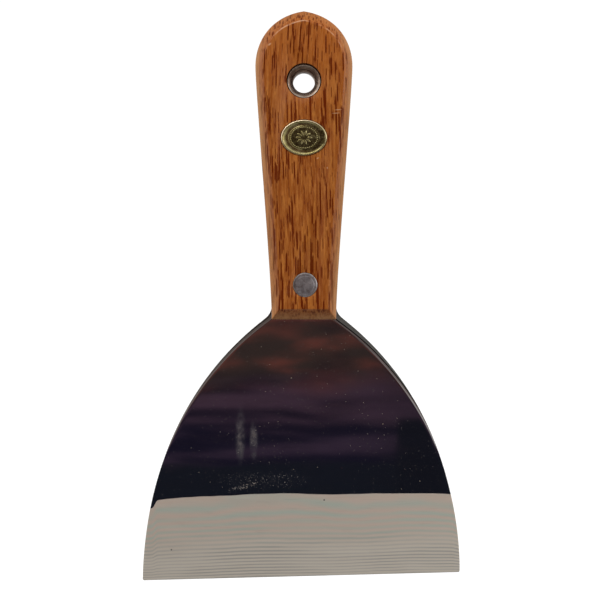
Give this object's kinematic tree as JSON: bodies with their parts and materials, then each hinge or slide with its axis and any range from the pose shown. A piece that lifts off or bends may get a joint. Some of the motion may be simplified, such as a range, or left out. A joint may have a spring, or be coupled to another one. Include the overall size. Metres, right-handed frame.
{
  "type": "joint knife",
  "caption": "Broad joint knife with a fan-shaped taper-ground steel blade, a chamfered oak handle, a hollow hanging eyelet, a flush rivet and an oval brass badge.",
  "frame": {"origin": "centre of the hanging hole, in the middle of the tang's thickness", "axes": "+Z along the handle towards the butt, with the blade hanging down, +Y out of the rear face, so the front face with the badge looks towards -Y, and +X to the right as seen from the front"},
  "size_m": [0.1016, 0.0162, 0.1819],
  "materials": {
    "blade_steel": "mirror-polished spring steel with a finely ground band above the working edge",
    "oak": "open-grained oak, oiled and varnished to a satin sheen",
    "eyelet_steel": "dull, aged plated steel, bright where it rubs",
    "rivet_steel": "dull, scuffed plated steel",
    "badge_brass": "pressed brass, dark patina in the field and bright on the rim"
  },
  "bodies": {
    "root": {"blade": "blade_steel", "front_scale": "oak", "rear_scale": "oak", "eyelet_front": "eyelet_steel", "eyelet_rear": "eyelet_steel", "neck_rivet_post": "rivet_steel", "neck_rivet_sleeve": "rivet_steel", "badge": "badge_brass"}
  },
  "joints": []
}
